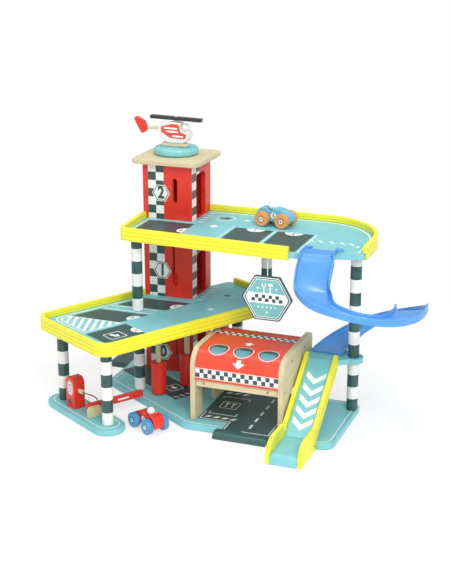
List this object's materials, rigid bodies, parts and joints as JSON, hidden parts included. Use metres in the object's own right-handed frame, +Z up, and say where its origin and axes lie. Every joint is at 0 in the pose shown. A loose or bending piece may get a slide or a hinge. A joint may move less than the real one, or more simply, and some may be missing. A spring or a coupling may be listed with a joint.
{
  "type": "toy garage",
  "caption": "Wooden toy garage with a lift tower and helipad, parking decks, car wash, fuel pump with barrier, spiral slide and ramp, with cars and a helicopter.",
  "frame": {"origin": "centre of the bounding box in plan, on the floor the toy stands on", "axes": "+Z up, +X along the tower's front face towards the slide, +Y from the front road towards the back"},
  "size_m": [0.6021, 0.3895, 0.4454],
  "materials": {
    "turquoise_board": "turquoise paint, satin, printed lines",
    "yellow_rail": "yellow paint, satin",
    "red_board": "red paint, satin",
    "plywood": "bare pale wood, clear satin varnish",
    "white_post": "white paint, posts with dark bands, satin",
    "blue_plastic": "moulded blue, gloss",
    "blue_wheel": "blue paint, satin",
    "sky_paint": "light blue paint, satin",
    "orange_wheel": "orange paint, satin",
    "slate_sign": "dark edge, printed faces, satin",
    "black_bar": "black paint, satin",
    "hanger_wire": "thin wire",
    "hose_cord": "red cord"
  },
  "bodies": {
    "garage": {"base_board": "turquoise_board", "pump_island": "turquoise_board", "lower_deck": "turquoise_board", "upper_deck": "turquoise_board", "ramp_board": "turquoise_board", "runout_board": "turquoise_board", "slide_platform": "turquoise_board", "lower_deck_rail": "yellow_rail", "upper_front_rail": "yellow_rail", "upper_back_rail": "yellow_rail", "ramp_left_rail": "yellow_rail", "ramp_right_rail": "yellow_rail", "runout_left_cheek": "yellow_rail", "runout_right_cheek": "yellow_rail", "tower_front_panel": "red_board", "tower_back_panel": "red_board", "tower_left_panel": "red_board", "tower_right_panel": "red_board", "wash_cover": "red_board", "fuel_pump": "red_board", "roof_plate": "plywood", "wash_left_panel": "plywood", "wash_right_panel": "plywood", "wash_front_bar": "plywood", "wash_back_bar": "plywood", "barrier_bracket": "plywood", "pump_nozzle": "plywood", "left_roller_dowel": "plywood", "right_roller_dowel": "plywood", "island_rear_post": "white_post", "island_front_post": "white_post", "base_middle_post": "white_post", "base_wash_post": "white_post", "deck_middle_post": "white_post", "deck_sign_post": "white_post", "slide_lower_post": "white_post", "slide_upper_post": "white_post", "slide_upper_half": "blue_plastic", "slide_lower_half": "blue_plastic", "pump_hose": "hose_cord"},
    "lift_car": {"lift_car": "red_board"},
    "barrier": {"barrier_arm": "red_board"},
    "left_roller": {"left_roller": "red_board"},
    "right_roller": {"right_roller": "red_board"},
    "helipad": {"helipad_turntable": "turquoise_board"},
    "helicopter": {"heli_skid": "plywood", "heli_body": "white_post", "heli_boom": "plywood", "heli_fin": "red_board"},
    "rotor": {"heli_rotor": "black_bar"},
    "hanging_sign": {"hex_sign": "slate_sign", "sign_hanger": "hanger_wire"},
    "red_car": {"red_car_body": "red_board", "red_car_head": "white_post"},
    "red_front_wheels": {"red_car_front_wheels": "blue_wheel"},
    "red_rear_wheels": {"red_car_rear_wheels": "blue_wheel"},
    "blue_car": {"blue_car_body": "sky_paint", "blue_car_head": "white_post"},
    "blue_front_wheels": {"blue_car_front_wheels": "orange_wheel"},
    "blue_rear_wheels": {"blue_car_rear_wheels": "orange_wheel"}
  },
  "joints": [
    {"name": "lift_slide", "type": "slide", "parent": "garage", "child": "lift_car", "axis": [0, 0, 1], "range_m": [-0.1305, 0.1358]},
    {"name": "barrier_hinge", "type": "hinge", "parent": "garage", "child": "barrier", "pos_m": [-0.19857, -0.14178, 0.025], "axis": [0.8339, -0.5519, 0], "range_deg": [0, 85]},
    {"name": "left_roller_spin", "type": "hinge", "parent": "garage", "child": "left_roller", "pos_m": [-0.1326, -0.0187, 0.011], "axis": [0, 0, 1], "continuous": true},
    {"name": "right_roller_spin", "type": "hinge", "parent": "garage", "child": "right_roller", "pos_m": [-0.1036, 0.0343, 0.011], "axis": [0, 0, 1], "continuous": true},
    {"name": "helipad_turn", "type": "hinge", "parent": "garage", "child": "helipad", "pos_m": [-0.1596, 0.1313, 0.3828], "axis": [0, 0, 1], "continuous": true},
    {"name": "helicopter_lift_off", "type": "slide", "parent": "helipad", "child": "helicopter", "axis": [0, 0, 1], "range_m": [0, 0.08]},
    {"name": "rotor_spin", "type": "hinge", "parent": "helicopter", "child": "rotor", "pos_m": [-0.1592, 0.1313, 0.4395], "axis": [0, 0, 1], "continuous": true},
    {"name": "sign_swing", "type": "hinge", "parent": "garage", "child": "hanging_sign", "pos_m": [0.0598, -0.0327, 0.2715], "axis": [1, 0, 0], "range_deg": [-20, 20]},
    {"name": "red_car_roll", "type": "slide", "parent": "garage", "child": "red_car", "axis": [-0.8517, 0.524, 0], "range_m": [-0.1, 0.035]},
    {"name": "red_front_spin", "type": "hinge", "parent": "red_car", "child": "red_front_wheels", "pos_m": [-0.11613, -0.12457, 0.0122], "axis": [-0.524, -0.8517, 0], "continuous": true},
    {"name": "red_rear_spin", "type": "hinge", "parent": "red_car", "child": "red_rear_wheels", "pos_m": [-0.08547, -0.14343, 0.0122], "axis": [-0.524, -0.8517, 0], "continuous": true},
    {"name": "blue_car_roll", "type": "slide", "parent": "garage", "child": "blue_car", "axis": [0.9874, -0.1582, 0], "range_m": [-0.085, 0.12]},
    {"name": "blue_front_spin", "type": "hinge", "parent": "blue_car", "child": "blue_front_wheels", "pos_m": [0.04407, 0.10445, 0.2935], "axis": [0.1582, 0.9874, 0], "continuous": true},
    {"name": "blue_rear_spin", "type": "hinge", "parent": "blue_car", "child": "blue_rear_wheels", "pos_m": [0.00853, 0.11015, 0.2935], "axis": [0.1582, 0.9874, 0], "continuous": true}
  ],
  "couplings": [
    {"joint": "red_front_spin", "follows": "red_car_roll", "rad_per_m": 81.967},
    {"joint": "red_rear_spin", "follows": "red_car_roll", "rad_per_m": 81.967},
    {"joint": "blue_front_spin", "follows": "blue_car_roll", "rad_per_m": 81.967},
    {"joint": "blue_rear_spin", "follows": "blue_car_roll", "rad_per_m": 81.967}
  ]
}
